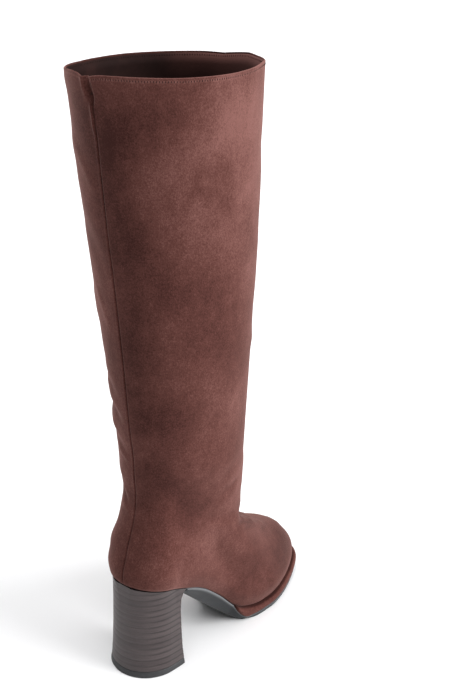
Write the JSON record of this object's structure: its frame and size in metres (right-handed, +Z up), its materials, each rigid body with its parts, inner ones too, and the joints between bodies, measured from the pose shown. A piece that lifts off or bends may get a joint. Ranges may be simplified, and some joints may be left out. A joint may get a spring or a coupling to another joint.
{
  "type": "knee-high boot",
  "caption": "Knee-high boot with a slim hollow shaft, almond toe, suede-wrapped platform, drawn-in grey sole and a stacked block heel.",
  "frame": {"origin": "on the floor under the heel, where the round back of the heel's outline meets its straight sides", "axes": "+Z up, towards the collar; -Y towards the toe; +X towards the inner side of the foot"},
  "size_m": [0.133, 0.256, 0.4936],
  "materials": {
    "suede": "brushed suede with a soft mottled nap",
    "lining": "smooth matt lining leather",
    "sole_rubber": "satin grey sole with a paler polished edge",
    "stack": "stacked layers with fine dark lines, satin",
    "lift_rubber": "matt dark rubber"
  },
  "bodies": {
    "root": {"upper": "suede", "insole": "lining", "platform": "suede", "outsole": "sole_rubber", "heel": "stack", "top_lift": "lift_rubber"}
  },
  "joints": []
}
